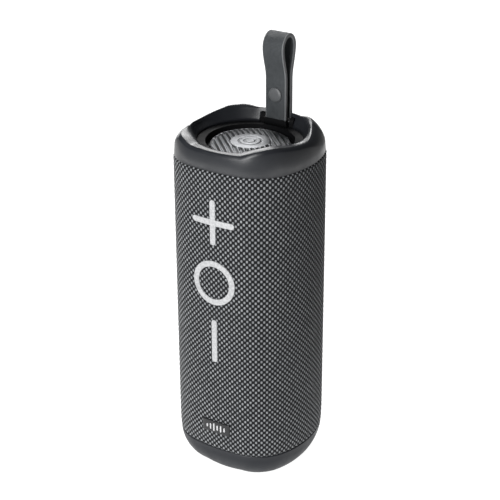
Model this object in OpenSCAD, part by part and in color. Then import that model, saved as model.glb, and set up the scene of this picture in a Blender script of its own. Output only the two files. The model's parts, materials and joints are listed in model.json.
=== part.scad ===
// Portable shower speaker: a rounded upright body with a woven sleeve, an elastomer bumper at each
// end, a passive radiator inside each bumper, keys behind the sleeve and a loop strap at the back.
// Millimetres. Z points up, the keys face -Y, and the origin is the middle of the resting plane.

/* [Body] */
// Width of the body, side to side
body_w = 70; // [69:0.5:72]
// Depth of the body, front to back
body_d = 66; // [65.5:0.5:67]
// Radius of the four upright corners
corner_r = 23; // [22.5:0.25:23.5]
// Radius of the bulge of the two sides
side_r = 47; // [46:0.5:48]
// Half of the angle that each side bulge spans
side_angle = 22.6; // [22:0.1:23]
// Height of the bottom bumper at its corners
base_h = 15.5; // [15:0.5:16]
// Height of the woven sleeve
sleeve_h = 150; // [148:1:156]
// Thickness of the woven sleeve
sleeve_t = 1.2; // [0.8:0.1:1.2]

/* [Bumpers] */
// Mean height of the top bumper's crest above the sleeve
crown_h = 12.1; // [12:0.1:12.5]
// Half of the height of the crest's four waves
wave_h = 1.18; // [0.8:0.02:1.2]
// Radius of the round opening inside the crest
lip_r = 27.9; // [27.5:0.1:28]
// Radius of the round opening under the bottom bumper
base_lip_r = 22.8; // [22.5:0.1:23]
// Radius of the top opening's wall where it meets the frame
well_r = 25.2; // [25:0.1:25.4]
// Depth of the bumper's outer face behind the sleeve's
bumper_inset = 0.3; // [0.2:0.1:0.5]

/* [Radiators] */
// Radius of a passive radiator's plate
plate_r = 19; // [18:0.1:19]
// Radius of the flat pad in the middle of the plate
pad_r = 9.5; // [8:0.5:10]
// Distance from one ridge of the plate to the next
ridge_pitch = 2.6; // [2.4:0.1:3]

/* [Keys] */
// Height of the middle key above the resting plane
key_z = 109; // [108.5:0.5:109.5]
// Distance between the keys
key_pitch = 31.5; // [31:0.5:32]
// Length of a mark's strokes
mark_size = 23; // [21:0.5:23.5]
// Width of a mark's strokes
mark_w = 2.9; // [2.4:0.1:3.2]
// How far the marks stand out of the sleeve
mark_proud = 0.35; // [0.2:0.05:0.5]

/* [Rear panel] */
// Width of the rear control panel
panel_w = 22; // [21.5:0.5:22]
// Radius of a rear button's cap
button_r = 4; // [3.5:0.1:4.2]
// Height of the charging port above the resting plane
port_z = 99; // [98.5:0.5:99.5]

/* [Strap] */
// Width of the strap
strap_w = 11.4; // [10:0.1:12]
// Thickness of the strap
strap_t = 2; // [1.6:0.1:2.1]
// Height of the top of the loop
strap_top = 217; // [214:1:224]

/* [Driver] */
// Height of the driver's axis
driver_z = 42; // [42:0.5:43]
// Radius of the driver's flange
flange_r = 20.5; // [20:0.1:20.5]

/* [Hidden] */
$fn = 64;

steps = 96;
half_w = body_w / 2;
half_d = body_d / 2;
corner_x = half_w - side_r + (side_r - corner_r) * cos(side_angle);
corner_y = (side_r - corner_r) * sin(side_angle);
face_angle = 2 * atan((half_d - corner_r - corner_y) / corner_x);
face_r = corner_r + corner_x / sin(face_angle);

sleeve_bottom = base_h;
sleeve_top = base_h + sleeve_h;
total_h = sleeve_bottom + sleeve_top;
ledge_top = sleeve_top + 5.5;
frame_bottom = sleeve_top - 3.5;
gasket_t = 0.5;
cabinet_top = frame_bottom - gasket_t;
cabinet_bottom = total_h - cabinet_top;
cabinet_gap = sleeve_t + 0.3;
cabinet_wall = 2.5;
touch_gap = 0.05;
plate_top = ledge_top - 0.8;
plate_t = 6;
ledge_r = 21.4;
seat_r = 24.6;
seat_top = ledge_top - 2.8;
frame_screw_at = [21, 20];
frame_screw_hole = 1.3;

bar_r = 1.5;
bar_y = 26.4;
bar_z = ledge_top + 2;
bar_fit = 0.05;
loop_r = bar_r + bar_fit + strap_t - 0.15;
widest_z = strap_top - 7;
narrow_z = strap_top - 23;
loop_bulge = 3;
snap_z = bar_z + 13.5;
snap_hole = 1.6;
channel_w = 12.8;
ear_x = 6.9;
ear_t = 2.4;
ear_r = 2.3;
clip_t = 0.5;
clip_rise = 1.2;

pocket_back = -27.8;
key_pocket_w = 25.8;
key_pocket_h = 2 * key_pitch + 25.5;
flange_front = -30.5;
flange_t = 1.2;
window_gap = 0.3;
board_t = 1.2;

panel_bottom = 88;
panel_top = 158;
panel_seat = 30.6;
rear_pocket = 26.9;
button_z = [148, 135, 122];
light_z = 112;
cover_size = [15, 10];
cover_floor = 31.3;
hinge_y = 32;
hinge_z = port_z - cover_size[1] / 2 + 0.2;
socket_size = [8.9, 3.2];

flange_y = -25;
cell_r = 9.2;
cell_y = 8.6;
cell_x = 10;
cell_bottom = 88;
cell_len = 65;
main_board_y = -3;
main_board_t = 1.6;
board_hole_x = 19;
board_hole_z = [94, 146];
side_screw_x = 25.5;
side_screw_z = [34, 140];
foot_at = [17.8, 17.1];
foot_r = 1.4;
foot_h = 1.8;
base_inset = 0.5;
bumper_lift = 0.4;
base_wave = 0.15;
badge_size = [16, 6.8];
badge_z = 28.3;

// The body's section: arcs that meet at a common tangent. t is the angle of the outward normal,
// counted from -Y towards +X, and inset is the depth below the outer surface.
function fold(t) = abs((t + 540) % 360 - 180);
function arc_centre(t) =
    let (a = fold(t), sx = sign(sin(t)), sy = -sign(cos(t)))
    a < face_angle ? [0, face_r - half_d]
    : a > 180 - face_angle ? [0, half_d - face_r]
    : abs(a - 90) < side_angle ? [sx * (half_w - side_r), 0]
    : [sx * corner_x, sy * corner_y];
function arc_radius(t) =
    let (a = fold(t))
    a < face_angle || a > 180 - face_angle ? face_r
    : abs(a - 90) < side_angle ? side_r
    : corner_r;
function outline_point(t, inset) = arc_centre(t) + (arc_radius(t) - inset) * [sin(t), -cos(t)];
function outline(inset) = [for (i = [0 : steps - 1]) outline_point(360 * i / steps, inset)];
function on_circle(t, r) = let (p = outline_point(t, 0)) r * p / norm(p);
function lift(p, z) = [p[0], p[1], z];

// One closed ring of cross sections, each a closed list of points in the same order.
module ring_solid(sections) {
    count = len(sections);
    size = len(sections[0]);
    points = [for (s = sections) for (p = s) p];
    faces = [
        for (i = [0 : count - 1]) for (j = [0 : size - 1])
            let (
                a = i * size + j,
                b = i * size + (j + 1) % size,
                c = ((i + 1) % count) * size + (j + 1) % size,
                d = ((i + 1) % count) * size + j
            )
            each [[a, b, c], [a, c, d]]
    ];
    polyhedron(points = points, faces = faces, convexity = 6);
}

module section(inset) {
    polygon(outline(inset));
}

module band(outer, inner, bottom, top) {
    translate([0, 0, bottom])
    linear_extrude(top - bottom)
    difference() {
        section(outer);
        section(inner);
    }
}

module body_slice(inset, bottom, top) {
    translate([0, 0, bottom])
    linear_extrude(top - bottom)
    section(inset);
}

module block(low, high) {
    translate(low) cube(high - low);
}

// A cylinder or tube that points along +Y.
module rod_y(at, r, length) {
    translate(at) rotate([-90, 0, 0]) cylinder(r = r, h = length);
}

// A cylinder along the strap bar's axis, from a distance x to the side.
module rod_x(x, length, r) {
    translate([x, bar_y, bar_z]) rotate([0, 90, 0]) cylinder(r = r, h = length);
}

// An X-Z outline, extruded from one depth to another.
module extrude_y(front, back) {
    translate([0, back, 0])
    rotate([90, 0, 0])
    linear_extrude(back - front)
    children();
}

module flipped() {
    translate([0, 0, total_h]) mirror([0, 0, 1]) children();
}

module four(at) {
    for (sx = [-1, 1]) for (sy = [-1, 1])
        translate([sx * at[0], sy * at[1], 0]) children();
}

// ---- bumpers ----

// The crest is high at the corners and fullest behind the sides. The shoulder is tight around
// the normal at tight_at and softens from there to the back.
tight_at = 28;
function crest(t) =
    sleeve_top + crown_h - 0.17 * cos(t) - 0.73 * cos(3 * t) - wave_h * cos(4 * t) - 0.2 * cos(8 * t)
    + 0.9 * exp(-pow((fold(t) - 113) / 20, 2));
function lean(t) = 1.6 * pow(sin(t), 2);
function shoulder_w(t) =
    min(norm(outline_point(t, 0)) - lip_r - 0.5 - lean(t), 1.6 + 4.4 * smooth((fold(t - tight_at) - 55) / 35));
function shoulder_h(t) = 1.2 + 1.6 * (shoulder_w(t) - 1.2);
function shoulder_point(t, a) =
    let (
        rise = crest(t) - shoulder_h(t) * (1 - pow(sin(a), 1.33)) - sleeve_top,
        depth = lean(t) * rise / (crest(t) - sleeve_top) + shoulder_w(t) * (1 - pow(cos(a), 1.33))
    )
    lift(outline_point(t, bumper_inset + depth), sleeve_top + rise);
rounding = [0 : 15 : 90];

function top_section(t) = concat(
    [lift(outline_point(t, bumper_inset), sleeve_top + touch_gap)],
    [for (a = rounding) shoulder_point(t, a)],
    [lift(on_circle(t, lip_r), crest(t) - 0.95 + 0.45 * cos(4 * t))],
    [lift(on_circle(t, lip_r - 0.6), crest(t) - 2.4)],
    [lift(on_circle(t, well_r), ledge_top + touch_gap)],
    [lift(outline_point(t, 3.9), ledge_top + touch_gap)],
    [lift(outline_point(t, 3.9), sleeve_top + touch_gap)]
);

module top_bumper() {
    color("dimgray")
    difference() {
        ring_solid([for (i = [0 : steps - 1]) top_section(360 * i / steps)]);
        block([-channel_w / 2, 20, ledge_top - 1], [channel_w / 2, 30.5, total_h + 4]);
        block([-9.5, 21, ledge_top - 1], [9.5, 30.5, bar_z + 2.5]);
    }
}

function drop(t) = base_h - bumper_lift + base_wave * (1 + cos(4 * t));
function haunch_w(t) = min(10.6, norm(outline_point(t, 0)) - base_inset - base_lip_r - 0.1);

function bottom_section(t) = concat(
    [lift(outline_point(t, base_inset), sleeve_bottom - touch_gap)],
    [for (a = rounding) lift(
        outline_point(t, base_inset + haunch_w(t) * (1 - pow(cos(a), 1.15))),
        sleeve_bottom - 0.5 - (drop(t) - 0.5) * pow(sin(a), 1.15))],
    [lift(on_circle(t, base_lip_r), sleeve_bottom - drop(t) + 0.3)],
    [lift(on_circle(t, base_lip_r + 0.4), sleeve_bottom - drop(t) + 1.6)],
    [lift(on_circle(t, base_lip_r + 1.2), total_h - ledge_top - touch_gap)],
    [lift(outline_point(t, 3.9), total_h - ledge_top - touch_gap)],
    [lift(outline_point(t, 3.9), sleeve_bottom - touch_gap)]
);

module bottom_bumper() {
    color("dimgray")
    difference() {
        ring_solid([for (i = [steps - 1 : -1 : 0]) bottom_section(360 * i / steps)]);
        four(foot_at) translate([0, 0, -1]) cylinder(r = foot_r + 0.1, h = foot_h + 1.1);
    }
}

module foot_pads() {
    color("black")
    four(foot_at) cylinder(r = foot_r, h = foot_h);
}

// ---- sleeve and badge ----

module bar_mark(length, width) {
    square([width, length - width], center = true);
    for (s = [-1, 1]) translate([0, s * (length - width) / 2]) circle(d = width);
}

module plus_mark(grow) {
    bar_mark(mark_size + 2 * grow, mark_w + 2 * grow);
    rotate(90) bar_mark(mark_size + 2 * grow, mark_w + 2 * grow);
}

module circle_mark(grow) {
    difference() {
        circle(d = mark_size + 2 * grow);
        circle(d = mark_size - 2 * mark_w - 2 * grow);
    }
}

module fabric_sleeve() {
    color("darkslategray")
    difference() {
        band(0, sleeve_t, sleeve_bottom, sleeve_top);
        extrude_y(-half_d - 1, -half_d + 4) {
            translate([0, key_z + key_pitch]) plus_mark(window_gap);
            translate([0, key_z]) circle(d = mark_size + 2 * window_gap);
            translate([0, key_z - key_pitch])
                bar_mark(mark_size + 2 * window_gap, mark_w + 2 * window_gap);
        }
        block([-panel_w / 2 - 0.1, 25, panel_bottom - 0.1],
              [panel_w / 2 + 0.1, half_d + 1, panel_top + 0.1]);
    }
}

module front_badge() {
    color("black")
    intersection() {
        body_slice(-0.5, badge_z - 6, badge_z + 6);
        difference() {
            extrude_y(-half_d - 1, -half_d + 2)
                translate([0, badge_z]) square(badge_size, center = true);
            body_slice(-0.02, badge_z - 7, badge_z + 7);
        }
    }
}

// ---- end frames, radiators and gaskets ----

module end_frame() {
    difference() {
        union() {
            body_slice(cabinet_gap, frame_bottom, sleeve_top - 0.1);
            body_slice(4, sleeve_top - 0.2, ledge_top);
        }
        translate([0, 0, frame_bottom - 1]) cylinder(r = seat_r, h = seat_top - frame_bottom + 1);
        translate([0, 0, frame_bottom - 1]) cylinder(r = ledge_r, h = 12);
        four(frame_screw_at) {
            translate([0, 0, frame_bottom - 1]) cylinder(r = frame_screw_hole, h = 12);
            translate([0, 0, ledge_top - 1.8]) cylinder(r = 2.4, h = 3);
        }
    }
}

module top_frame() {
    color("gray")
    difference() {
        union() {
            end_frame();
            for (x = [-ear_x - ear_t, ear_x]) {
                rod_x(x, ear_t, ear_r);
                block([x, bar_y - ear_r, ledge_top - 0.5], [x + ear_t, bar_y + ear_r, bar_z]);
            }
        }
        block([-ear_x, 22.4, ledge_top - 2.1], [ear_x, 30.5, ledge_top + 1]);
        rod_x(-12, 24, bar_r + bar_fit);
    }
}

module bottom_frame() {
    color("gray")
    flipped() end_frame();
}

module end_gasket() {
    difference() {
        body_slice(cabinet_gap + 0.3, cabinet_top, frame_bottom);
        body_slice(cabinet_gap + 2.2, cabinet_top - 1, frame_bottom + 1);
    }
}

module top_gasket() {
    color("black") end_gasket();
}

module bottom_gasket() {
    color("black") flipped() end_gasket();
}

module radiator_plate() {
    ridges = floor(plate_r / ridge_pitch);
    difference() {
        translate([0, 0, plate_top - plate_t]) cylinder(r = plate_r, h = plate_t);
        intersection() {
            rotate(45)
                for (i = [-ridges : ridges])
                    translate([(i + 0.5) * ridge_pitch - 0.55, -plate_r - 1, plate_top - 0.8])
                    cube([1.1, 2 * plate_r + 2, 2]);
            difference() {
                translate([0, 0, plate_top - 2]) cylinder(r = plate_r - 0.7, h = 5);
                translate([0, 0, plate_top - 3]) cylinder(r = pad_r, h = 7);
            }
        }
    }
}

module top_radiator() {
    color("silver") radiator_plate();
}

module bottom_radiator() {
    color("silver") flipped() radiator_plate();
}

module radiator_surround() {
    rotate_extrude()
    union() {
        translate([22, seat_top - 1.2]) square([2.4, 1.15]);
        difference() {
            translate([20.75, seat_top - 0.6]) circle(r = 1.4, $fn = 32);
            translate([20.75, seat_top - 0.6]) circle(r = 0.8, $fn = 32);
            translate([18, seat_top - 0.6]) square([5.5, 3]);
        }
    }
}

module top_surround() {
    color("black") radiator_surround();
}

module bottom_surround() {
    color("black") flipped() radiator_surround();
}

module radiator_weight() {
    translate([0, 0, plate_top - plate_t - 2.5]) cylinder(r = 11, h = 2.5);
}

module top_weight() {
    color("darkgray") radiator_weight();
}

module bottom_weight() {
    color("darkgray") flipped() radiator_weight();
}

// ---- cabinet ----

module frame_bosses() {
    four(frame_screw_at) {
        translate([0, 0, cabinet_top - 12.5]) cylinder(r = 4.2, h = 12.5);
        translate([0, 0, cabinet_bottom]) cylinder(r = 4.2, h = 12.5);
    }
}

module frame_boss_holes() {
    four(frame_screw_at) {
        translate([0, 0, cabinet_top - 11]) cylinder(r = frame_screw_hole, h = 12);
        translate([0, 0, cabinet_bottom - 1]) cylinder(r = frame_screw_hole, h = 12);
    }
}

module half_cabinet(side) {
    low = side < 0 ? -half_d - 1 : touch_gap;
    high = side < 0 ? -touch_gap : half_d + 1;
    intersection() {
        block([-half_w, low, cabinet_bottom], [half_w, high, cabinet_top]);
        union() {
            band(cabinet_gap, cabinet_gap + cabinet_wall, cabinet_bottom, cabinet_top);
            intersection() {
                body_slice(cabinet_gap + 1, cabinet_bottom, cabinet_top);
                union() {
                    frame_bosses();
                    for (x = [-side_screw_x, side_screw_x]) for (z = side_screw_z)
                        rod_y([x, -26, z], 3.4, 60);
                    children();
                }
            }
        }
    }
}

module side_screw_holes() {
    for (x = [-side_screw_x, side_screw_x]) for (z = side_screw_z) {
        rod_y([x, -11, z], frame_screw_hole, 45);
        rod_y([x, 19.5, z], 2.4, 20);
    }
}

module front_cabinet() {
    pocket_low = key_z - key_pocket_h / 2;
    pocket_high = key_z + key_pocket_h / 2;
    color("slategray")
    difference() {
        half_cabinet(-1) {
            block([-key_pocket_w / 2 - 1.5, -half_d, pocket_low - 1.5],
                  [key_pocket_w / 2 + 1.5, pocket_back + 1.5, pocket_high + 1.5]);
            rod_y([0, -half_d, driver_z], flange_r + 0.5, half_d + flange_y - 0.4);
            for (x = [-board_hole_x, board_hole_x]) for (z = board_hole_z)
                rod_y([x, -half_d, z], 2.6, half_d + main_board_y - touch_gap);
        }
        block([-key_pocket_w / 2, -half_d - 1, pocket_low], [key_pocket_w / 2, pocket_back, pocket_high]);
        rod_y([0, -half_d - 1, driver_z], 16.5, 20);
        for (a = [45 : 90 : 315])
            rod_y([18.9 * cos(a), flange_y - 5, driver_z + 18.9 * sin(a)], 0.9, 6);
        for (x = [-board_hole_x, board_hole_x]) for (z = board_hole_z)
            rod_y([x, main_board_y - 8, z], 1.05, 9);
        frame_boss_holes();
        side_screw_holes();
    }
}

module rear_cabinet() {
    color("slategray")
    difference() {
        half_cabinet(1) {
            block([-panel_w / 2 - 1.8, rear_pocket - 1.5, panel_bottom - 1.8],
                  [panel_w / 2 + 1.8, half_d, panel_top + 1.8]);
            block([-10, 21, port_z - 8.5], [10, half_d, port_z + 8.5]);
        }
        block([-panel_w / 2 - 0.1, panel_seat - touch_gap, panel_bottom - 0.1],
              [panel_w / 2 + 0.1, half_d + 1, panel_top + 0.1]);
        block([-10, rear_pocket, panel_bottom + 1.4], [10, half_d + 1, panel_top - 1.4]);
        block([-8.5, 22.5, port_z - 7], [8.5, half_d, port_z + 7]);
        frame_boss_holes();
        side_screw_holes();
    }
}

// ---- driver ----

module about_driver() {
    translate([0, flange_y, driver_z]) rotate([-90, 0, 0]) children();
}

module driver_basket() {
    color("darkgray")
    about_driver()
    difference() {
        rotate_extrude()
            polygon([[16.7, 0], [flange_r, 0], [flange_r, 2], [17.6, 2], [12.6, 13],
                     [8.2, 13], [8.2, 11.8], [11.6, 11.8], [16.7, 1.6]]);
        for (a = [45 : 90 : 315])
            rotate(a) translate([18.9, 0, -1]) cylinder(r = 1.1, h = 4);
        for (a = [0 : 90 : 270])
            rotate(a) translate([14, 0, 7.2]) cube([8, 9, 4.4], center = true);
    }
}

module driver_gasket() {
    color("black")
    about_driver()
    translate([0, 0, -0.27])
    difference() {
        cylinder(r = flange_r, h = 0.24);
        translate([0, 0, -1]) cylinder(r = 16.7, h = 3);
        for (a = [45 : 90 : 315])
            rotate(a) translate([18.9, 0, -1]) cylinder(r = 1.1, h = 3);
    }
}

module driver_cone() {
    color("dimgray")
    about_driver() {
        rotate_extrude()
            polygon(concat(
                [for (a = [0 : 15 : 90]) [7 * sin(a), 6.2 - 3 * cos(a)]],
                [[14.8, 1.4], [14.8, 2.2], [7, 7.1], [7, 17], [6.6, 17], [6.6, 6.8]],
                [for (a = [75 : -15 : 0]) [6.3 * sin(a), 6.8 - 2.7 * cos(a)]]));
    }
}

module driver_surround() {
    color("black")
    about_driver()
    rotate_extrude()
    difference() {
        translate([15.8, 1.5]) circle(r = 0.8, $fn = 32);
        translate([15.8, 1.5]) circle(r = 0.45, $fn = 32);
        translate([14, 1.5]) square([4, 2]);
    }
}

module driver_magnet() {
    color("gray")
    about_driver()
    rotate_extrude()
        polygon([[0, 13.1], [6, 13.1], [6, 20], [7.6, 20], [7.6, 13.1], [12, 13.1],
                 [12, 23], [0, 23]]);
}

// ---- front keys ----

module front_key(z) {
    color("white")
    union() {
        intersection() {
            body_slice(-mark_proud, z - mark_size, z + mark_size);
            extrude_y(-half_d - 1, flange_front + 0.1)
                translate([0, z]) children();
        }
        block([-12, flange_front, z - 12.4], [12, flange_front + flange_t, z + 12.4]);
    }
}

module volume_up_key() {
    front_key(key_z + key_pitch) plus_mark(0);
}

module play_key() {
    front_key(key_z) circle_mark(0);
}

module volume_down_key() {
    front_key(key_z - key_pitch) bar_mark(mark_size, mark_w);
}

module key_board() {
    color("darkgreen") {
        block([-10, pocket_back - 0.6, key_z - key_pitch - 9], [10, pocket_back, key_z + key_pitch + 9]);
        for (i = [-1 : 1])
            rod_y([0, pocket_back - 0.85, key_z + i * key_pitch], 2, 0.5);
    }
}

// ---- rear panel ----

module rounded_slot(size) {
    square([size[0] - size[1], size[1]], center = true);
    for (s = [-1, 1]) translate([s * (size[0] - size[1]) / 2, 0]) circle(d = size[1], $fn = 32);
}

module rear_panel() {
    color("dimgray")
    difference() {
        union() {
            intersection() {
                body_slice(0, panel_bottom, panel_top);
                block([-panel_w / 2, panel_seat, panel_bottom], [panel_w / 2, half_d + 1, panel_top]);
            }
            block([-9.5, 29, port_z - 6.5], [9.5, panel_seat + 0.1, port_z + 6.5]);
        }
        for (z = button_z)
            rod_y([0, 28, z], button_r + 0.3, 8);
        for (i = [-2 : 2])
            rod_y([3 * i, 28, light_z], 0.85, 8);
        block([-cover_size[0] / 2 - 0.3, cover_floor, hinge_z],
              [cover_size[0] / 2 + 0.3, half_d + 2, port_z + cover_size[1] / 2 + 0.3]);
        translate([-cover_size[0] / 2 - 0.3, hinge_y, hinge_z])
            rotate([0, 90, 0]) cylinder(r = 1.5, h = cover_size[0] + 0.6);
        extrude_y(28, 33)
            translate([0, port_z]) rounded_slot(socket_size + [0.6, 0.6]);
    }
}

module rear_button(z) {
    color("black") {
        rod_y([0, 30.4, z], button_r, 3.1);
        rod_y([0, 29.6, z], button_r + 1.1, 0.8);
    }
}

module power_button() {
    rear_button(button_z[0]);
}

module pairing_button() {
    rear_button(button_z[1]);
}

module bass_button() {
    rear_button(button_z[2]);
}

module button_board() {
    color("darkgreen") {
        block([-9.5, rear_pocket + 0.1, 109], [9.5, rear_pocket + 0.1 + board_t, 155]);
        for (z = button_z)
            block([-2, rear_pocket + 1, z - 2], [2, rear_pocket + 2.1, z + 2]);
    }
}

module light_guide() {
    color("white")
    for (i = [-2 : 2])
        rod_y([3 * i, 28.3, light_z], 0.75, 4.5);
}

module port_cover() {
    color("black")
    union() {
        intersection() {
            body_slice(0, port_z - 10, port_z + 10);
            block([-cover_size[0] / 2, cover_floor + 0.1, hinge_z],
                  [cover_size[0] / 2, half_d + 1, port_z + cover_size[1] / 2]);
        }
        translate([-cover_size[0] / 2, hinge_y, hinge_z])
            rotate([0, 90, 0]) cylinder(r = 0.9, h = cover_size[0]);
    }
}

module usb_c_socket() {
    color("silver") {
        difference() {
            extrude_y(24.45, 31) translate([0, port_z]) rounded_slot(socket_size);
            extrude_y(25.2, 32) translate([0, port_z]) rounded_slot(socket_size - [0.6, 0.6]);
        }
        block([-3.3, 25, port_z - 0.35], [3.3, 30, port_z + 0.35]);
    }
}

module port_board() {
    color("darkgreen")
    block([-8, 23.2, port_z - 6.5], [8, 24.4, port_z + 6.5]);
}

// ---- battery and main board ----

module battery_cells() {
    color("royalblue")
    for (x = [-cell_x, cell_x])
        translate([x, cell_y, cell_bottom]) {
            cylinder(r = cell_r, h = cell_len - 1.5);
            translate([0, 0, cell_len - 1.6]) cylinder(r = 3, h = 1.6);
        }
}

module holder_end(bottom) {
    translate([0, cell_y, bottom])
    linear_extrude(2) {
        square([2 * cell_x, 19.2], center = true);
        for (x = [-cell_x, cell_x]) translate([x, 0]) circle(r = 9.6);
    }
}

module battery_holder() {
    color("slategray") {
        holder_end(cell_bottom - 2.1);
        holder_end(cell_bottom + cell_len + 0.1);
        block([-9, cell_y + cell_r + 0.1, cell_bottom - 2.1], [9, 20, cell_bottom + cell_len + 2.1]);
        block([-6, 19.9, 126], [6, rear_pocket - 1.5 - touch_gap, 136]);
    }
}

module main_board() {
    color("darkgreen")
    difference() {
        union() {
            block([-22, main_board_y, 88], [22, main_board_y + main_board_t, 152]);
            for (x = [-7, 7]) rod_y([x, main_board_y - 9, 98], 3.2, 9.1);
            for (z = [112, 124]) block([-13, main_board_y - 5, z], [-5, main_board_y + 0.1, z + 8]);
            block([3, main_board_y - 1.2, 116], [12, main_board_y + 0.1, 125]);
            block([-8, main_board_y - 1.2, 138], [0, main_board_y + 0.1, 146]);
        }
        for (x = [-board_hole_x, board_hole_x]) for (z = board_hole_z)
            rod_y([x, main_board_y - 1, z], 1.15, 4);
    }
}

// ---- strap ----

function smooth(u) = let (v = min(1, max(0, u))) v * v * (3 - 2 * v);
function strap_half(z) = loop_r + loop_bulge * smooth((z - narrow_z) / (widest_z - narrow_z));

// Half of the strap's side outline, from the bottom to the top of the loop, inset by a depth.
function leaf_side(inset, bottom) = concat(
    [for (z = [bottom : 2 : widest_z - 1]) [strap_half(z) - inset, z]],
    [for (a = [0 : 10 : 80])
        [(strap_half(widest_z) - inset) * cos(a), widest_z + (strap_top - widest_z - inset) * sin(a)]],
    [[0, strap_top - inset]]
);
function both_sides(half) = concat(
    half,
    [for (i = [len(half) - 2 : -1 : 0]) [-half[i][0], half[i][1]]]
);

module strap_band() {
    color("gray")
    difference() {
        translate([-strap_w / 2, bar_y, 0])
        rotate([90, 0, 90])
        linear_extrude(strap_w)
        difference() {
            union() {
                polygon(both_sides(leaf_side(0, bar_z)));
                translate([0, bar_z]) circle(r = loop_r);
            }
            polygon(both_sides(leaf_side(strap_t, bar_z + 4)));
        }
        rod_x(-strap_w, 2 * strap_w, bar_r + bar_fit);
        rod_y([0, 20, snap_z], snap_hole, 14);
    }
}

// A stiff shell that wraps the root of the strap and turns with it.
module clip_form(grow, half_x) {
    rod_x(-half_x, 2 * half_x, loop_r + grow);
    block([-half_x, bar_y - loop_r - grow, bar_z], [half_x, bar_y + loop_r + grow, bar_z + clip_rise]);
}

module strap_clip() {
    color("black")
    difference() {
        clip_form(clip_t, ear_x - 0.6);
        clip_form(0.08, strap_w / 2 + 0.1);
        block([-ear_x, bar_y - loop_r - 1, bar_z + clip_rise], [ear_x, bar_y + loop_r + 1, bar_z + 6]);
        rod_x(-12, 24, bar_r + bar_fit);
    }
}

module strap_snap() {
    color("darkgray")
    union() {
        rod_y([0, bar_y - loop_r - 0.95, snap_z], 3.6, 0.9);
        rod_y([0, bar_y - loop_r - 0.1, snap_z], snap_hole - 0.05, 2 * loop_r + 0.2);
        rod_y([0, bar_y + loop_r + 0.05, snap_z], 3.2, 0.6);
    }
}

module strap_bar() {
    color("silver")
    rod_x(-ear_x - ear_t, 2 * (ear_x + ear_t), bar_r);
}

// ---- fasteners ----

module screw(length, shank_r, head_r, head_h) {
    translate([0, 0, -length]) cylinder(r = shank_r, h = length + 0.1);
    difference() {
        cylinder(r = head_r, h = head_h);
        translate([0, 0, head_h - 0.8]) cylinder(r = head_r / 2, h = 2, $fn = 6);
    }
}

module frame_screws() {
    four(frame_screw_at)
        translate([0, 0, ledge_top - 1.8]) screw(17, 1.25, 2.2, 1.6);
}

module top_frame_screws() {
    color("silver") frame_screws();
}

module bottom_frame_screws() {
    color("silver") flipped() frame_screws();
}

module cabinet_screws() {
    color("silver")
    for (x = [-side_screw_x, side_screw_x]) for (z = side_screw_z)
        translate([x, 19.5, z]) rotate([-90, 0, 0]) screw(29, 1.25, 2.2, 1.6);
}

module driver_screws() {
    color("silver")
    for (a = [45 : 90 : 315])
        translate([18.9 * cos(a), flange_y + 2, driver_z + 18.9 * sin(a)])
        rotate([-90, 0, 0]) screw(6, 0.85, 1.25, 1.2);
}

module board_screws() {
    color("silver")
    for (x = [-board_hole_x, board_hole_x]) for (z = board_hole_z)
        translate([x, main_board_y + main_board_t, z]) rotate([-90, 0, 0]) screw(8, 1, 1.8, 1.3);
}

fabric_sleeve();
top_bumper();
bottom_bumper();
foot_pads();
top_frame();
bottom_frame();
top_gasket();
bottom_gasket();
top_radiator();
top_surround();
top_weight();
bottom_radiator();
bottom_surround();
bottom_weight();
front_cabinet();
rear_cabinet();
driver_basket();
driver_gasket();
driver_cone();
driver_surround();
driver_magnet();
volume_up_key();
play_key();
volume_down_key();
key_board();
front_badge();
rear_panel();
power_button();
pairing_button();
bass_button();
button_board();
light_guide();
port_cover();
usb_c_socket();
port_board();
battery_cells();
battery_holder();
main_board();
strap_band();
strap_clip();
strap_snap();
strap_bar();
top_frame_screws();
bottom_frame_screws();
cabinet_screws();
driver_screws();
board_screws();
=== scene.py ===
"""Looks of an upright shower speaker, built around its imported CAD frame."""
import json
import math

import bpy
import numpy as np
from mathutils import Matrix, Vector


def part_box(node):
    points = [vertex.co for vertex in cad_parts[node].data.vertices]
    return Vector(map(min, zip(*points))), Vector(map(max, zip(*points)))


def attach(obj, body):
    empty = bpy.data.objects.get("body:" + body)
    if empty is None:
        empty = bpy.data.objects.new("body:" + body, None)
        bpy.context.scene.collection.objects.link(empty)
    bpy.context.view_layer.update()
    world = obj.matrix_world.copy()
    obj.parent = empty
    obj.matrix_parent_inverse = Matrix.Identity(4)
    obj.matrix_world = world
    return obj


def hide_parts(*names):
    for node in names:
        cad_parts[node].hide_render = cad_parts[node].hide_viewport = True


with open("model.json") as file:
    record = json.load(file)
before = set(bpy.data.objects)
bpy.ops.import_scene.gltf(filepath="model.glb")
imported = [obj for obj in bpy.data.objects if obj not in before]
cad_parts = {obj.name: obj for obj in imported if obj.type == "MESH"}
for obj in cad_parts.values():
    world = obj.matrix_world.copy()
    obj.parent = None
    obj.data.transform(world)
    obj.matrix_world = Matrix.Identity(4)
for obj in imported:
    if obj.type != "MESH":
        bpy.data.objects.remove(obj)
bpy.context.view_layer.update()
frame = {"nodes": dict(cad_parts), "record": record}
MM = 0.001


# ---- the body's section, in millimetres, as the CAD draws it ----

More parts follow.
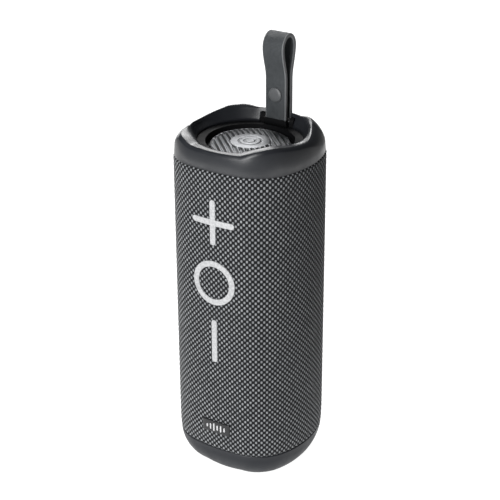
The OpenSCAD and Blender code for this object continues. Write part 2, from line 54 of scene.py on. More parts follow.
low, high = (np.array(corner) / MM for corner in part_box("fabric_sleeve"))
SLEEVE_BOTTOM, SLEEVE_TOP = low[2], high[2]
HALF_W, HALF_D = high[0], high[1]
CORNER_R = 23.0
SIDE_R = 47.0
SIDE_ANGLE = math.radians(22.6)
CORNER_X = HALF_W - SIDE_R + (SIDE_R - CORNER_R) * math.cos(SIDE_ANGLE)
CORNER_Y = (SIDE_R - CORNER_R) * math.sin(SIDE_ANGLE)
FACE_ANGLE = 2 * math.atan((HALF_D - CORNER_R - CORNER_Y) / CORNER_X)
FACE_R = CORNER_R + CORNER_X / math.sin(FACE_ANGLE)
TOTAL_H = SLEEVE_BOTTOM + SLEEVE_TOP
LEDGE_TOP = SLEEVE_TOP + 5.5
BAR = np.array([0.0, 26.4, LEDGE_TOP + 2.0])


def section(angle, inset=0.0):
    """Points of the body's outline; angle is that of the outward normal, from -Y towards +X."""
    angle = np.asarray(angle, float)
    inset = np.broadcast_to(np.asarray(inset, float), angle.shape)
    normal = np.stack([np.sin(angle), -np.cos(angle)], -1)
    folded = np.abs((angle + math.pi) % (2 * math.pi) - math.pi)
    face = (folded < FACE_ANGLE) | (folded > math.pi - FACE_ANGLE)
    side = np.abs(folded - math.pi / 2) < SIDE_ANGLE
    radius = np.where(face, FACE_R, np.where(side, SIDE_R, CORNER_R))
    centre_x = np.where(face, 0.0, np.where(side, HALF_W - SIDE_R, CORNER_X)) * np.sign(normal[..., 0])
    centre_y = np.where(face, HALF_D - FACE_R, np.where(side, 0.0, CORNER_Y)) * np.sign(normal[..., 1])
    centre = np.stack([centre_x, centre_y], -1)
    return centre + normal * (radius - inset)[..., None]


def on_circle(angle, radius):
    """Points at a radius, each in the direction of the outline's point."""
    point = section(angle)
    return point * (radius / np.linalg.norm(point, axis=-1))[..., None]


def lifted(points, height):
    height = np.broadcast_to(np.asarray(height, float), points.shape[:-1])
    return np.concatenate([points, height[..., None]], -1)


# ---- meshes ----

def grid_mesh(name, rows, close_u=True, close_v=False, uv=None, keep=None):
    """A mesh from rows of points in millimetres; uv gives each point's texture place."""
    rows = np.asarray(rows, float)
    count_v, count_u = rows.shape[:2]
    v = np.arange(count_v if close_v else count_v - 1)
    u = np.arange(count_u if close_u else count_u - 1)
    vv, uu = np.meshgrid(v, u, indexing="ij")
    vn, un = (vv + 1) % count_v, (uu + 1) % count_u
    quads = np.stack([vv * count_u + uu, vv * count_u + un, vn * count_u + un, vn * count_u + uu], -1)
    quads = quads[keep] if keep is not None else quads.reshape(-1, 4)
    mesh = bpy.data.meshes.new(name)
    mesh.from_pydata((rows.reshape(-1, 3) * MM).tolist(), [], quads.tolist())
    if uv is not None:
        layer = mesh.uv_layers.new(name="UVMap")
        corners = np.empty(len(mesh.loops), int)
        mesh.loops.foreach_get("vertex_index", corners)
        layer.data.foreach_set("uv", np.asarray(uv, float).reshape(-1, 2)[corners].ravel())
    mesh.polygons.foreach_set("use_smooth", np.ones(len(mesh.polygons), bool))
    mesh.update()
    return mesh


def add_piece(mesh, body, material, stands_for=()):
    obj = bpy.data.objects.new(mesh.name, mesh)
    bpy.context.scene.collection.objects.link(obj)
    mesh.materials.append(material)
    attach(obj, body)
    if stands_for:
        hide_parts(*stands_for)
    return obj


def lathe(name, profile, centre, axis="Z", steps=96):
    """A closed surface of revolution from (radius, height) pairs in millimetres."""
    angle = np.linspace(0, 2 * math.pi, steps, endpoint=False)
    rows = []
    for radius, height in profile:
        ring = np.stack([radius * np.cos(angle), radius * np.sin(angle), np.full(steps, height)], -1)
        if axis == "-Y":
            ring = np.stack([ring[:, 0], -ring[:, 2], ring[:, 1]], -1)
        if axis == "Y":
            ring = np.stack([-ring[:, 0], ring[:, 2], ring[:, 1]], -1)
        rows.append(ring + centre)
    return grid_mesh(name, rows)


# ---- materials ----

class Shader:
    """A material with a Principled shader and short calls to add nodes."""

    def __init__(self, name, colour, roughness, metallic=0.0, specular=0.5):
        self.material = bpy.data.materials.new(name)
        self.material.use_nodes = True
        self.tree = self.material.node_tree
        self.shader = self.tree.nodes["Principled BSDF"]
        self.set("Base Color", (*colour, 1))
        self.set("Roughness", roughness)
        self.set("Metallic", metallic)
        self.set("Specular IOR Level", specular)
        self.place = self.tree.nodes.new("ShaderNodeTexCoord").outputs["Object"]

    def set(self, socket, value):
        self.shader.inputs[socket].default_value = value

    def link(self, output, socket):
        self.tree.links.new(output, self.shader.inputs[socket])

    def feed(self, node, socket, value):
        if hasattr(value, "is_output"):
            self.tree.links.new(value, node.inputs[socket])
        else:
            node.inputs[socket].default_value = value

    def math(self, operation, a, b=0.0, clamp=False):
        node = self.tree.nodes.new("ShaderNodeMath")
        node.operation = operation
        node.use_clamp = clamp
        self.feed(node, 0, a)
        self.feed(node, 1, b)
        return node.outputs[0]

    def ramp(self, value, low, high, to_low=0.0, to_high=1.0, smooth=True):
        node = self.tree.nodes.new("ShaderNodeMapRange")
        node.interpolation_type = "SMOOTHSTEP" if smooth else "LINEAR"
        for index, number in enumerate((value, low, high, to_low, to_high)):
            self.feed(node, index, number)
        return node.outputs[0]

    def mix(self, factor, a, b):
        node = self.tree.nodes.new("ShaderNodeMix")
        node.data_type = "RGBA"
        self.feed(node, 0, factor)
        self.feed(node, 6, a if hasattr(a, "is_output") else (*a, 1))
        self.feed(node, 7, b if hasattr(b, "is_output") else (*b, 1))
        return node.outputs[2]

    def noise(self, scale, detail=3.0, place=None, roughness=0.5):
        node = self.tree.nodes.new("ShaderNodeTexNoise")
        self.feed(node, "Vector", place or self.place)
        node.inputs["Scale"].default_value = scale
        node.inputs["Detail"].default_value = detail
        node.inputs["Roughness"].default_value = roughness
        return node.outputs["Fac"]

    def bump(self, height, depth_mm, strength=1.0, below=None):
        node = self.tree.nodes.new("ShaderNodeBump")
        node.inputs["Strength"].default_value = strength
        node.inputs["Distance"].default_value = depth_mm * MM
        self.feed(node, "Height", height)
        if below is not None:
            self.feed(node, "Normal", below)
        self.link(node.outputs[0], "Normal")
        return node.outputs[0]

    def uv(self):
        node = self.tree.nodes.new("ShaderNodeUVMap")
        node.uv_map = "UVMap"
        split = self.tree.nodes.new("ShaderNodeSeparateXYZ")
        self.tree.links.new(node.outputs[0], split.inputs[0])
        return split.outputs[0], split.outputs[1]


def moulded(name, colour, roughness, grain=900.0, depth=0.02, spread=0.06, specular=0.5):
    """Moulded plastic or rubber: a fine grain, a little uneven gloss and tone."""
    s = Shader(name, colour, roughness, specular=specular)
    tone = s.noise(60.0, 4.0)
    darker = tuple(c * 0.8 for c in colour)
    lighter = tuple(c * 1.2 for c in colour)
    s.link(s.mix(tone, darker, lighter), "Base Color")
    s.link(s.ramp(s.noise(140.0, 3.0), 0.3, 0.7, roughness - spread, roughness + spread), "Roughness")
    s.bump(s.noise(grain, 2.0), depth)
    return s.material


def elastomer_material():
    """Satin elastomer that turns duller on the rounded base, below the sleeve."""
    s = Shader("bumper_elastomer", (0.02, 0.022, 0.026), 0.32)
    s.link(s.mix(s.noise(60.0, 4.0), (0.017, 0.019, 0.023), (0.023, 0.025, 0.03)), "Base Color")
    split = s.tree.nodes.new("ShaderNodeSeparateXYZ")
    s.tree.links.new(s.place, split.inputs[0])
    above_base = s.ramp(split.outputs[2], (SLEEVE_BOTTOM - 4) * MM, (SLEEVE_BOTTOM + 4) * MM)
    s.link(s.math("ADD", s.math("MULTIPLY", above_base, 0.45), 0.2), "Specular IOR Level")
    uneven = s.ramp(s.noise(140.0, 3.0), 0.3, 0.7, 0.42, 0.52)
    s.link(s.math("SUBTRACT", uneven, s.math("MULTIPLY", above_base, 0.14)), "Roughness")
    s.bump(s.noise(1400.0, 2.0), 0.012)
    return s.material


def brushed(name, colour, roughness):
    s = Shader(name, colour, roughness, metallic=1.0)
    stretched = s.tree.nodes.new("ShaderNodeMapping")
    stretched.inputs["Scale"].default_value = (1.0, 1.0, 14.0)
    s.tree.links.new(s.place, stretched.inputs[0])
    streak = s.noise(700.0, 2.0, place=stretched.outputs[0])
    s.link(s.ramp(streak, 0.3, 0.7, roughness - 0.08, roughness + 0.1), "Roughness")
    s.bump(streak, 0.01)
    return s.material


# The woven sleeve's lattice: light floats in staggered rows over a dark ground.
FLOAT_PITCH = 2.7
FLOAT_ROW = 2.9
FLOAT_SQUARENESS = 2.4


def cloth_material():
    s = Shader("woven_cloth", (0.03, 0.03, 0.032), 0.8, specular=0.25)
    u, v = s.uv()

    def cell_distance(shift):
        cu = s.math("ABSOLUTE", s.math("SUBTRACT", s.math("FRACT", s.math("ADD", u, shift)), 0.5))
        cv = s.math("ABSOLUTE", s.math("SUBTRACT", s.math("FRACT", s.math("ADD", v, shift)), 0.5))
        across = s.math("MULTIPLY", cu, FLOAT_PITCH / 0.52)
        along = s.math("MULTIPLY", cv, FLOAT_ROW / 0.68)
        squares = [s.math("POWER", part, FLOAT_SQUARENESS) for part in (across, along)]
        return s.math("POWER", s.math("ADD", *squares), 1 / FLOAT_SQUARENESS)

    def cell_random(shift):
        node = s.tree.nodes.new("ShaderNodeTexWhiteNoise")
        node.noise_dimensions = "2D"
        pair = s.tree.nodes.new("ShaderNodeCombineXYZ")
        s.tree.links.new(s.math("FLOOR", s.math("ADD", u, shift)), pair.inputs[0])
        s.tree.links.new(s.math("FLOOR", s.math("ADD", v, shift)), pair.inputs[1])
        s.tree.links.new(pair.outputs[0], node.inputs["Vector"])
        return node.outputs["Value"]

    first, second = cell_distance(0.0), cell_distance(0.5)
    nearest = s.math("MINIMUM", first, second)
    in_first = s.math("LESS_THAN", first, second)
    random = s.math("ADD", s.math("MULTIPLY", in_first, cell_random(0.0)),
                    s.math("MULTIPLY", s.math("SUBTRACT", 1.0, in_first), cell_random(0.5)))
    on_float = s.ramp(nearest, 1.15, 0.72)
    fibre = s.noise(3200.0, 3.0)
    sloped = [s.math("ABSOLUTE", s.math("SINE", s.math("MULTIPLY", s.math(op, u, v), math.pi)))
              for op in ("ADD", "SUBTRACT")]
    thread = s.ramp(s.math("MINIMUM", *sloped), 0.45, 0.05)
    ground = s.mix(thread, (0.0055, 0.0062, 0.0072), (0.028, 0.031, 0.035))
    bright = s.math("ADD", s.math("MULTIPLY", random, 0.3), s.math("MULTIPLY", fibre, 0.7))
    light = s.mix(bright, (0.115, 0.122, 0.13), (0.46, 0.473, 0.49))
    s.link(s.mix(on_float, ground, light), "Base Color")
    s.link(s.ramp(on_float, 0.0, 1.0, 0.9, 0.62), "Roughness")
    s.set("Sheen Weight", 0.15)
    s.bump(s.math("ADD", fibre, s.math("MULTIPLY", thread, 0.8)), 0.08)
    return s.material


def mark_material():
    s = Shader("white_print", (0.55, 0.555, 0.565), 0.55)
    grain = s.ramp(s.noise(900.0, 3.0), 0.35, 0.65)
    s.link(s.mix(grain, (0.46, 0.465, 0.475), (0.6, 0.605, 0.615)), "Base Color")
    s.link(s.ramp(s.noise(300.0), 0.3, 0.7, 0.48, 0.62), "Roughness")
    s.bump(s.noise(1100.0, 2.0), 0.05)
    return s.material


def radiator_material():
    s = Shader("radiator_metal", (0.17, 0.173, 0.18), 0.4, metallic=0.9)
    s.link(s.ramp(s.noise(500.0, 3.0), 0.3, 0.7, 0.34, 0.46), "Roughness")
    s.bump(s.noise(1500.0), 0.008)
    return s.material


def strap_material():
    s = Shader("strap_weave", (0.085, 0.09, 0.095), 0.6, specular=0.4)
    u, v = s.uv()
    rib = s.math("SINE", s.math("MULTIPLY", v, 2 * math.pi / 0.55))
    wobble = s.noise(420.0, 3.0)
    across = s.math("SINE", s.math("MULTIPLY", u, 2 * math.pi / 0.8))
    weave = s.math("MULTIPLY", s.math("ADD", rib, s.math("MULTIPLY", across, 0.35)), 0.5)
    tone = s.math("ADD", wobble, s.math("MULTIPLY", weave, 0.4), clamp=True)
    face = s.mix(tone, (0.036, 0.041, 0.045), (0.083, 0.09, 0.096))
    # painted highlight: the band's two side edges get a much lighter colour than its face, standing in for
    # light caught on their rounding
    painted_edge_highlight = s.ramp(s.math("ABSOLUTE", u), 5.1, 5.35)
    s.link(s.mix(painted_edge_highlight, face, (0.25, 0.258, 0.264)), "Base Color")
    s.link(s.ramp(wobble, 0.3, 0.7, 0.5, 0.68), "Roughness")
    s.bump(s.math("ADD", weave, wobble), 0.09)
    return s.material


def board_material():
    s = Shader("circuit_board", (0.01, 0.07, 0.035), 0.4)
    tracks = s.ramp(s.noise(500.0, 1.0), 0.48, 0.52)
    s.link(s.mix(tracks, (0.008, 0.06, 0.03), (0.02, 0.12, 0.06)), "Base Color")
    s.bump(s.noise(800.0), 0.02)
    return s.material


elastomer = elastomer_material()
rubber = moulded("black_rubber", (0.01, 0.01, 0.011), 0.6, specular=0.2)
plastic = moulded("cabinet_plastic", (0.007, 0.0072, 0.008), 0.6, specular=0.1)
paper = moulded("cone_paper", (0.03, 0.03, 0.032), 0.85, grain=2500.0, depth=0.06)
badge_print = moulded("light_print", (0.7, 0.705, 0.715), 0.5)
gloss = moulded("badge_gloss", (0.012, 0.0125, 0.014), 0.22, depth=0.003, spread=0.04)
wrap = moulded("cell_wrap", (0.02, 0.07, 0.22), 0.3, depth=0.004)
lens = moulded("light_lens", (0.5, 0.55, 0.6), 0.25, depth=0.004)
snap_metal = moulded("snap_enamel", (0.12, 0.125, 0.13), 0.35, depth=0.006)
steel = brushed("steel", (0.55, 0.55, 0.56), 0.35)
cloth = cloth_material()
white_print = mark_material()
radiator_metal = radiator_material()
strap_weave = strap_material()
board = board_material()

SLOT_MATERIALS = {
    "woven_fabric": cloth,
    "elastomer": elastomer,
    "rubber_black": rubber,
    "abs_dark": plastic,
    "radiator_metal": radiator_metal,
    "steel": steel,
    "cone_paper": paper,
    "white_mark": white_print,
    "circuit_board": board,
    "badge_gloss": gloss,
    "light_guide": lens,
    "cell_wrap": wrap,
    "strap_weave": strap_weave,
    "snap_metal": snap_metal,
}


def dress_cad_nodes():
    for part in frame["record"]["subparts"]:
        obj = frame["nodes"][part["node"]]
        material = SLOT_MATERIALS[part["material_slot"]]
        if not obj.material_slots:
            obj.data.materials.append(material)
        for place in obj.material_slots:
            place.material = material


# ---- the sleeve ----

def equal_steps(count):
    """Normal angles that divide the outline into equal lengths, from the back and round."""
    fine = np.linspace(-math.pi, math.pi, 7201)
    points = section(fine)
    run = np.concatenate([[0], np.cumsum(np.linalg.norm(np.diff(points, axis=0), axis=1))])
    return np.interp(np.linspace(0, run[-1], count), run, fine), run[-1]


SAMPLES = 6
PANEL = [np.array(corner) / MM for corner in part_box("rear_panel")]


def inside_panel(x, y, z):
    """How far a point lies inside the rear panel's rectangle, in millimetres."""
    middle = (PANEL[1][2] + PANEL[0][2]) / 2
    depth = np.minimum(PANEL[1][0] - np.abs(x), (PANEL[1][2] - PANEL[0][2]) / 2 - np.abs(z - middle))
    return np.where(y > 0, depth, -1.0)


def make_sleeve():
    """The woven cloth: its floats stand out a little, and it is open over the rear panel."""
    columns = 82
    angle, around = equal_steps(columns * SAMPLES + 1)
    rows_of_floats = round((SLEEVE_TOP - SLEEVE_BOTTOM) / FLOAT_ROW)
    height = np.linspace(SLEEVE_BOTTOM, SLEEVE_TOP, rows_of_floats * SAMPLES + 1)
    u = np.broadcast_to(np.linspace(0, columns, len(angle)), (len(height), len(angle)))
    v = np.broadcast_to(np.linspace(0, rows_of_floats, len(height))[:, None], u.shape)

    def bump(shift):
        across = (np.abs((u + shift) % 1 - 0.5)) * FLOAT_PITCH / 0.75
        along = (np.abs((v + shift) % 1 - 0.5)) * FLOAT_ROW / 0.9
        return np.clip(1 - across ** 2 - along ** 2, 0, 1) ** 0.5

    relief = np.maximum(bump(0.0), bump(0.5))
    to_edge = np.minimum(height - SLEEVE_BOTTOM, SLEEVE_TOP - height)[:, None]
    to_bottom = (height - SLEEVE_BOTTOM)[:, None]
    hem = 0.6 * np.clip(1 - to_edge / 0.9, 0, 1) ** 2
    narrowing = 0.3 * np.clip(1 - to_bottom / 12, 0, 1) ** 2
    inset = 0.24 * (1 - relief) + hem + narrowing
    points = section(np.broadcast_to(angle, u.shape), inset)
    rows = lifted(points, np.broadcast_to(height[:, None], u.shape))
    depth = inside_panel(rows[..., 0], rows[..., 1], rows[..., 2])
    centre = (depth[:-1, :-1] + depth[1:, 1:]) / 2
    mesh = grid_mesh("sleeve_cloth", rows, close_u=False, uv=np.stack([u, v], -1), keep=centre < 0.5)
    return add_piece(mesh, "housing", cloth, ["fabric_sleeve"])


# ---- bumpers ----

RING_STEPS = 384
WELL_R = 25.2
LIP_R = 27.9
BUMPER_INSET = 0.3
CROWN_H = 12.1
WAVE_H = 1.18
TIGHT_AT = math.radians(28)
MOST_LEAN = 1.6
SHOULDER_POWER = 1.33
CHANNEL_W = 12.8
CHANNEL_BACK = 30.5
EAR_REACH = 9.5


def folded_degrees(angle):
    """Size of an angle between -180 and 180 degrees, from one in radians."""
    return np.degrees(np.abs((angle + math.pi) % (2 * math.pi) - math.pi))


def crest(angle):
    """Height of the top bumper's crest, high at the corners."""
    slow = 0.17 * np.cos(angle) + 0.73 * np.cos(3 * angle)
    corners = WAVE_H * np.cos(4 * angle) + 0.2 * np.cos(8 * angle)
    behind_sides = 0.9 * np.exp(-((folded_degrees(angle) - 113) / 20) ** 2)
    return SLEEVE_TOP + CROWN_H - slow - corners + behind_sides


def shoulder_width(angle, lean):
    """Width of the top bumper's rounded shoulder, tight around TIGHT_AT and soft behind."""
    share = np.clip((folded_degrees(angle - TIGHT_AT) - 55) / 35, 0, 1)
    room = np.linalg.norm(section(angle), axis=-1) - LIP_R - 0.5 - lean
    return np.minimum(room, 1.6 + 4.4 * share * share * (3 - 2 * share))


def rounded(turn, power):
    """How far in and how far up a rounded corner is at an angle, each from 0 to 1."""
    return 1 - max(0.0, math.cos(turn)) ** power, math.sin(turn) ** power


def top_ring_rows():
    angle = np.linspace(0, 2 * math.pi, RING_STEPS, endpoint=False)
    top = crest(angle)
    lean = MOST_LEAN * np.sin(angle) ** 2
    wide = shoulder_width(angle, lean)
    tall = 1.2 + 1.6 * (wide - 1.2)
    rows = [
        lifted(section(angle, 1.2), SLEEVE_TOP + 0.05),
        lifted(section(angle, 0.7), SLEEVE_TOP + 0.1),
        lifted(section(angle, 0.35), SLEEVE_TOP + 0.3),
    ]
    for turn in np.radians(np.arange(0, 91, 5)):
        across, along = rounded(turn, SHOULDER_POWER)
        rise = top - SLEEVE_TOP - tall * (1 - along)
        depth = lean * rise / (top - SLEEVE_TOP) + wide * across
        rows.append(lifted(section(angle, BUMPER_INSET + depth), SLEEVE_TOP + rise))
    shoulder = section(angle, BUMPER_INSET + lean + wide)
    inner = on_circle(angle, LIP_R)
    dip = 0.95 - 0.45 * np.cos(4 * angle)
    for share, fall in ((0.25, 0.08), (0.5, 0.25), (0.75, 0.55), (1.0, 1.0)):
        rows.append(lifted(shoulder + (inner - shoulder) * share, top - fall * dip))
    for step, fall in ((0.25, 0.25), (0.45, 0.6), (0.6, 1.0)):
        rows.append(lifted(on_circle(angle, LIP_R - step), top - dip - fall * (2.4 - dip)))
    base = LEDGE_TOP + 0.05
    for share in (0.33, 0.66, 1.0):
        radius = LIP_R - 0.6 + share * (WELL_R - LIP_R + 0.6)
        rows.append(lifted(on_circle(angle, radius), top - 2.4 + share * (base - top + 2.4)))
    rows.append(lifted(section(angle, 3.9), base))
    rows.append(lifted(section(angle, 3.9), SLEEVE_TOP + 0.05))
    return rows


def cut_box(obj, corner_low, corner_high):
    """Cuts an axis-aligned block, given in millimetres, out of a piece."""
    low_corner, high_corner = np.array(corner_low) * MM, np.array(corner_high) * MM
    tool_mesh = bpy.data.meshes.new("cutter")
    corners = [(x, y, z) for x in (low_corner[0], high_corner[0]) for y in (low_corner[1], high_corner[1])
               for z in (low_corner[2], high_corner[2])]
    faces = [(0, 1, 3, 2), (4, 6, 7, 5), (0, 4, 5, 1), (2, 3, 7, 6), (0, 2, 6, 4), (1, 5, 7, 3)]
    tool_mesh.from_pydata(corners, [], faces)
    tool = bpy.data.objects.new("cutter", tool_mesh)
    bpy.context.scene.collection.objects.link(tool)
    cut = obj.modifiers.new("cut", "BOOLEAN")
    cut.operation = "DIFFERENCE"
    cut.solver = "EXACT"
    cut.object = tool
    bpy.context.view_layer.objects.active = obj
    with bpy.context.temp_override(object=obj, active_object=obj):
        bpy.ops.object.modifier_apply(modifier=cut.name)
    bpy.data.objects.remove(tool)
    bpy.data.meshes.remove(tool_mesh)


def make_top_ring():
    """The ring, with the channel that the strap stands in and the pocket around its bar."""
    mesh = grid_mesh("top_bumper_ring", top_ring_rows(), close_v=True)
    ring = add_piece(mesh, "housing", elastomer, ["top_bumper"])
    cut_box(ring, (-CHANNEL_W / 2, 20, LEDGE_TOP - 1), (CHANNEL_W / 2, CHANNEL_BACK, TOTAL_H + 4))
    cut_box(ring, (-EAR_REACH, 21, LEDGE_TOP - 1), (EAR_REACH, CHANNEL_BACK, BAR[2] + 2.5))
    return ring


BASE_LIP_R = 22.8
BASE_INSET = 0.5
BASE_LIFT = 0.4
BASE_WAVE = 0.15
HAUNCH_W = 10.6
HAUNCH_POWER = 1.15


def base_ring_rows():
    angle = np.linspace(2 * math.pi, 0, RING_STEPS, endpoint=False)
    bottom = SLEEVE_BOTTOM
    drop = bottom - BASE_LIFT + BASE_WAVE * (1 + np.cos(4 * angle))
    wide = np.minimum(HAUNCH_W, np.linalg.norm(section(angle), axis=-1) - BASE_INSET - BASE_LIP_R - 0.1)
    rows = [
        lifted(section(angle, 1.3), bottom - 0.05),
        lifted(section(angle, 0.8), bottom - 0.1),
        lifted(section(angle, BASE_INSET + 0.05), bottom - 0.3),
    ]
    for turn in np.radians(np.arange(0, 91, 5)):
        across, along = rounded(turn, HAUNCH_POWER)
        rows.append(lifted(section(angle, BASE_INSET + wide * across), bottom - 0.5 - (drop - 0.5) * along))
    for step, rise in ((0.0, 0.3), (0.1, 0.8), (0.4, 1.6)):
        rows.append(lifted(on_circle(angle, BASE_LIP_R + step), bottom - drop + rise))
    floor = TOTAL_H - LEDGE_TOP - 0.05
    rows.append(lifted(on_circle(angle, BASE_LIP_R + 1.2), floor))
    rows.append(lifted(section(angle, 3.9), floor))
    rows.append(lifted(section(angle, 3.9), bottom - 0.05))
    return rows


def make_base_ring():
    mesh = grid_mesh("bottom_bumper_ring", base_ring_rows(), close_v=True)
    return add_piece(mesh, "housing", elastomer, ["bottom_bumper"])


# ---- radiators ----

PLATE_R = 19.0
PLATE_T = 6.0
PAD_R = 9.5
RIDGE_PITCH = 2.6
PLATE_TOP = LEDGE_TOP - 0.8


def plate_height(x, y):
    """The ridged face of a radiator plate, above its own top plane at 0, in millimetres."""
    radius = np.hypot(x, y)
    across = (x + y) / math.sqrt(2)
    wave = np.abs((across / RIDGE_PITCH) % 1 - 0.5) * 2
    ridge = -0.9 * (1 - np.clip(wave * 1.25, 0, 1) ** 1.5)
    fade = np.clip((radius - PAD_R) / 0.5, 0, 1) * np.clip((PLATE_R - 0.5 - radius) / 0.4, 0, 1)
    dome = 0.5 - 1.1 * (radius / PLATE_R) ** 2
    ring = -0.3 * np.exp(-((radius - 5.4) / 0.4) ** 2) - 0.3 * np.exp(-((radius - 2.6) / 0.4) ** 2)
    rim = -0.5 * np.clip((radius - PLATE_R + 0.5) / 0.5, 0, 1) ** 2
    return ridge * fade + dome + ring + rim


def make_plate(name, body, node, flip):
    around = np.linspace(0, 2 * math.pi, 288, endpoint=False)
    x, y = np.cos(around), np.sin(around)
    rows = []
    for radius in np.linspace(0.02, PLATE_R, 110):
        height = plate_height(radius * x, radius * y)
        rows.append(np.stack([radius * x, radius * y, PLATE_TOP + height], -1))
    for radius, depth in ((PLATE_R, 1.0), (PLATE_R, PLATE_T), (0.02, PLATE_T)):
        rows.append(np.stack([radius * x, radius * y, np.full_like(x, PLATE_TOP - depth)], -1))
    rows = np.array(rows)
    if flip:
        rows[..., 2] = TOTAL_H - rows[..., 2]
        rows = rows[:, ::-1]
    return add_piece(grid_mesh(name, rows), body, radiator_metal, [node])


# ---- strap ----

STRAP_W = 11.4
STRAP_T = 2.0
STRAP_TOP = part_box("strap_band")[1][2] / MM
LOOP_R = 3.4


def strap_half(z):
    widest, narrow = STRAP_TOP - 7, STRAP_TOP - 23
    share = np.clip((z - narrow) / (widest - narrow), 0, 1)
    return LOOP_R + 3.0 * share * share * (3 - 2 * share)


def strap_path():
    """Centre line of the band in the Y-Z plane, one closed loop, in millimetres."""
    widest = STRAP_TOP - 7
    middle = STRAP_T / 2
    rise = np.linspace(BAR[2], widest, 50)
    front = np.stack([-(strap_half(rise) - middle), rise], -1)
    turn = np.radians(np.arange(4, 177, 4))
    half = strap_half(widest) - middle
    top = np.stack([-half * np.cos(turn), widest + (STRAP_TOP - widest - middle) * np.sin(turn)], -1)
    back = front[::-1] * (-1, 1)
    turn = np.radians(np.arange(8, 173, 8))
    bottom = np.stack([(LOOP_R - middle) * np.cos(turn), BAR[2] - (LOOP_R - middle) * np.sin(turn)], -1)
    return np.concatenate([front, top, back, bottom])


def make_strap():
    path = strap_path()
    ahead, behind = np.roll(path, -1, 0), np.roll(path, 1, 0)
    tangent = (ahead - behind) / np.linalg.norm(ahead - behind, axis=1)[:, None]
    outward = np.stack([-tangent[:, 1], tangent[:, 0]], -1)
    half_w, half_t, r = STRAP_W / 2, STRAP_T / 2, 0.45
    loop = []
    for cx, ct, start in ((half_w - r, half_t - r, 0), (-half_w + r, half_t - r, 90),
                          (-half_w + r, -half_t + r, 180), (half_w - r, -half_t + r, 270)):
        for turn in np.radians(start + np.arange(0, 91, 22.5)):
            loop.append((cx + r * math.cos(turn), ct + r * math.sin(turn)))
    loop = np.array(loop)
    run = np.concatenate([[0], np.cumsum(np.linalg.norm(np.diff(path, axis=0), axis=1))])
    rows, uv = [], []
    for index in range(len(path)):
        y = path[index, 0] + outward[index, 0] * loop[:, 1]
        z = path[index, 1] + outward[index, 1] * loop[:, 1]
        rows.append(np.stack([loop[:, 0], BAR[1] + y, z], -1))
        uv.append(np.stack([loop[:, 0], np.full(len(loop), run[index])], -1))
    mesh = grid_mesh("strap_loop", rows, close_v=True, uv=np.array(uv))
    return add_piece(mesh, "strap", strap_weave, ["strap_band"])


def make_snap():
    snap_z = BAR[2] + 13.5
    centre = np.array([0, BAR[1] - LOOP_R, snap_z])
    post = [(0.02, -6.0), (1.5, -6.0), (1.5, 0.0)]
    cap = [(3.6, 0.0), (3.65, 0.25), (3.5, 0.6), (3.1, 0.82), (2.0, 0.95), (0.9, 1.0), (0.02, 1.0)]
    profile = post + cap
    front = lathe("snap_cap", profile, centre, axis="-Y")
    return add_piece(front, "strap", snap_metal, ["strap_snap"])


# ---- badge and raised marks ----

def tube(name, path, radius, closed=False, steps=10):
    """A round bar along a path of points in millimetres, with round ends when it is open."""
    path = np.array(path, float)
    radii = np.full(len(path), float(radius))
    if not closed:
        lead = (path[1] - path[0]) / np.linalg.norm(path[1] - path[0])
        tail = (path[-1] - path[-2]) / np.linalg.norm(path[-1] - path[-2])
        caps = ((0.98, 0.2), (0.7, 0.71), (0.3, 0.95))
        path = np.concatenate([[path[0] - lead * radius * out for out, _ in caps], path,
                               [path[-1] + tail * radius * out for out, _ in caps[::-1]]])
        ends = np.array([share for _, share in caps]) * radius
        radii = np.concatenate([ends, radii, ends[::-1]])
    ahead, behind = np.roll(path, -1, 0), np.roll(path, 1, 0)
    if not closed:
        ahead[-1], behind[0] = path[-1], path[0]
    tangent = (ahead - behind) / np.linalg.norm(ahead - behind, axis=1)[:, None]
    side = np.cross(tangent, (0.0, 1.0, 0.0))
    side /= np.linalg.norm(side, axis=1)[:, None]
    other = np.cross(side, tangent)
    turn = np.linspace(0, 2 * math.pi, steps, endpoint=False)[None, :, None]
    around = np.cos(turn) * side[:, None] + np.sin(turn) * other[:, None]
    rows = path[:, None] + radii[:, None, None] * around
    return grid_mesh(name, rows, close_v=closed)


def front_y(x):
    """Depth of the body's front surface at a distance x from the middle."""
    return HALF_D - FACE_R + math.sqrt(FACE_R ** 2 - x * x)


def make_badge():
    low_badge, high_badge = (np.array(corner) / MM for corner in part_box("front_badge"))
    half = (high_badge[[0, 2]] - low_badge[[0, 2]]) / 2
    middle = (high_badge[2] + low_badge[2]) / 2
    proud = 0.5
    corner, bevel = 1.2, 0.3
    turn = np.linspace(0, 2 * math.pi, 64, endpoint=False)
    out_x = np.sign(np.cos(turn)) * (half[0] - corner) + corner * np.cos(turn)
    out_z = np.sign(np.sin(turn)) * (half[1] - corner) + corner * np.sin(turn)
    rows = []
    for shrink, lift in ((0, -0.6), (0, proud - bevel), (0.1, proud - 0.1), (bevel, proud)):
        ratio = 1 - shrink / half[0]
        x, z = out_x * ratio, out_z - np.sign(out_z) * shrink
        rows.append(np.stack([x, [-front_y(a) - lift for a in x], middle + z], -1))
    for ratio in (0.8, 0.6, 0.4, 0.2, 0.01):
        x, z = out_x * ratio, out_z * ratio
        rows.append(np.stack([x, [-front_y(a) - proud for a in x], middle + z], -1))
    add_piece(grid_mesh("badge_plate", rows[::-1]), "housing", gloss, ["front_badge"])
    heights = (1.2, 2.4, 3.6, 2.0, 3.0, 1.6)
    for index, length in enumerate(heights):
        x = (index - 2.5) * 2.0
        y = -front_y(x) - proud
        path = [(x, y, middle - length / 2), (x, y, middle + length / 2)]
        add_piece(tube(f"badge_bar_{index + 1}", path, 0.42), "housing", badge_print)


# ---- rear panel ----

def arc(x, radius, start, end):
    """Points of an arc around (x, 0), every 15 degrees."""
    turns = np.radians(np.arange(start, end + 1, 15))
    return [(x + radius * math.cos(turn), radius * math.sin(turn)) for turn in turns]


